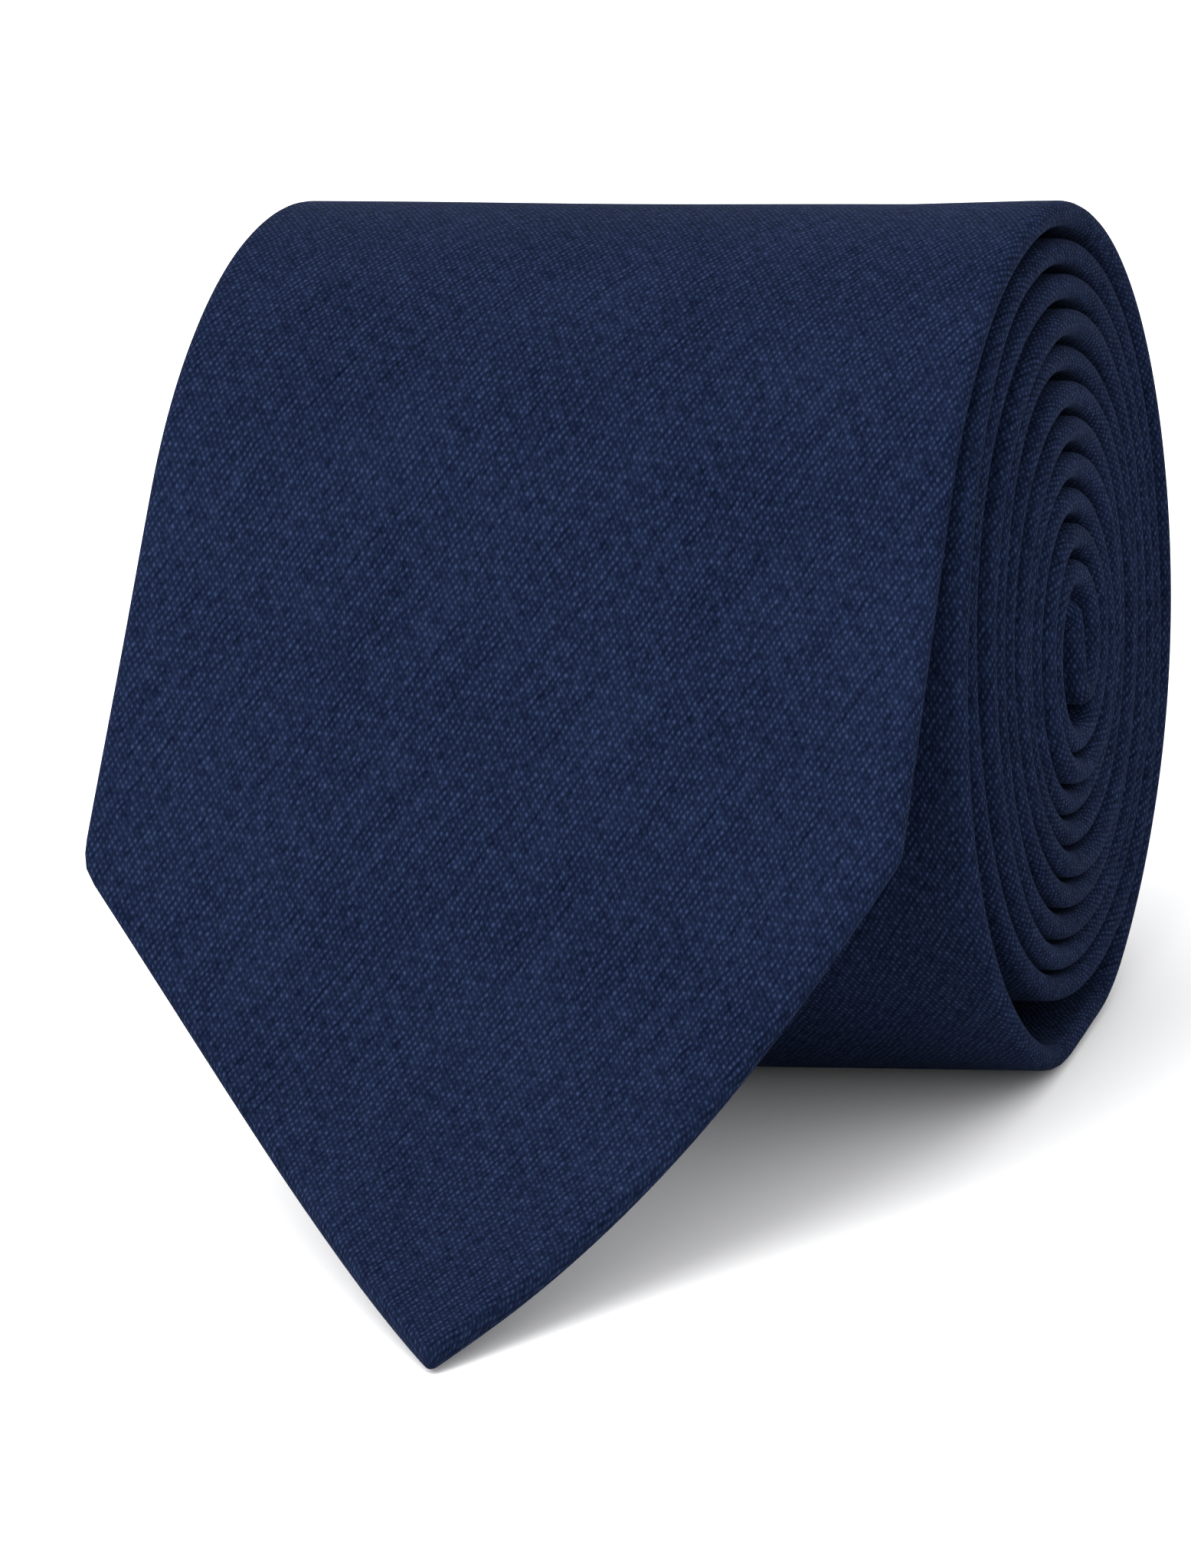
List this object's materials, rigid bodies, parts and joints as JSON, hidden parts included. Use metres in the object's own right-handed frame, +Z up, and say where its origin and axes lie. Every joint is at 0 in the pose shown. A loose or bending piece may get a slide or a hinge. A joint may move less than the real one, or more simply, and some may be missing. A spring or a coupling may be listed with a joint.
{
  "type": "rolled necktie",
  "caption": "Navy necktie rolled up from its tail, resting on its side, with the blade's pointed end hanging over the front to the floor.",
  "frame": {"origin": "middle of the flat strip on which the roll rests, on the floor below the roll's axis", "axes": "+X along the roll's axis towards its flush end, -Y towards the blade's point, +Z up"},
  "size_m": [0.0734, 0.1278, 0.072],
  "materials": {
    "shell_cloth": "matt navy linen-blend cloth, cut on the bias, fine twill-like weave with light slubs",
    "interlining_cloth": "brushed off-white wool and cotton interlining",
    "lining_cloth": "smooth navy lining with a soft sheen",
    "sewing_thread": "navy sewing thread",
    "label_cloth": "blank woven label cloth"
  },
  "bodies": {
    "roll": {"shell_blade_rolled": "shell_cloth", "shell_neck_panel": "shell_cloth", "shell_tail_panel": "shell_cloth", "keeper_loop": "shell_cloth", "interlining_wide_rolled": "interlining_cloth", "interlining_narrow": "interlining_cloth", "tipping_tail": "lining_cloth", "slip_stitch": "sewing_thread", "keeper_stitches": "sewing_thread", "label_stitches": "sewing_thread", "seam_stitches_blade_neck": "sewing_thread", "seam_stitches_neck_tail": "sewing_thread", "bar_tack_tail": "sewing_thread", "blank_label": "label_cloth", "care_label": "label_cloth"},
    "blade": {"shell_blade_drape": "shell_cloth", "interlining_drape": "interlining_cloth", "tipping_blade_drape": "lining_cloth", "hem_stitches_drape": "sewing_thread", "bar_tack_blade": "sewing_thread"},
    "point": {"shell_blade_point": "shell_cloth", "interlining_point": "interlining_cloth", "tipping_blade_point": "lining_cloth", "hem_stitches_point": "sewing_thread"}
  },
  "joints": [
    {"name": "blade_peel", "type": "hinge", "parent": "roll", "child": "blade", "pos_m": [0, 0, 0.072], "axis": [-1, 0, 0], "range_deg": [0, 90]},
    {"name": "point_lift", "type": "hinge", "parent": "blade", "child": "point", "pos_m": [0, -0.05269, 0.02645], "axis": [-1, 0, 0], "range_deg": [0, 80]}
  ]
}
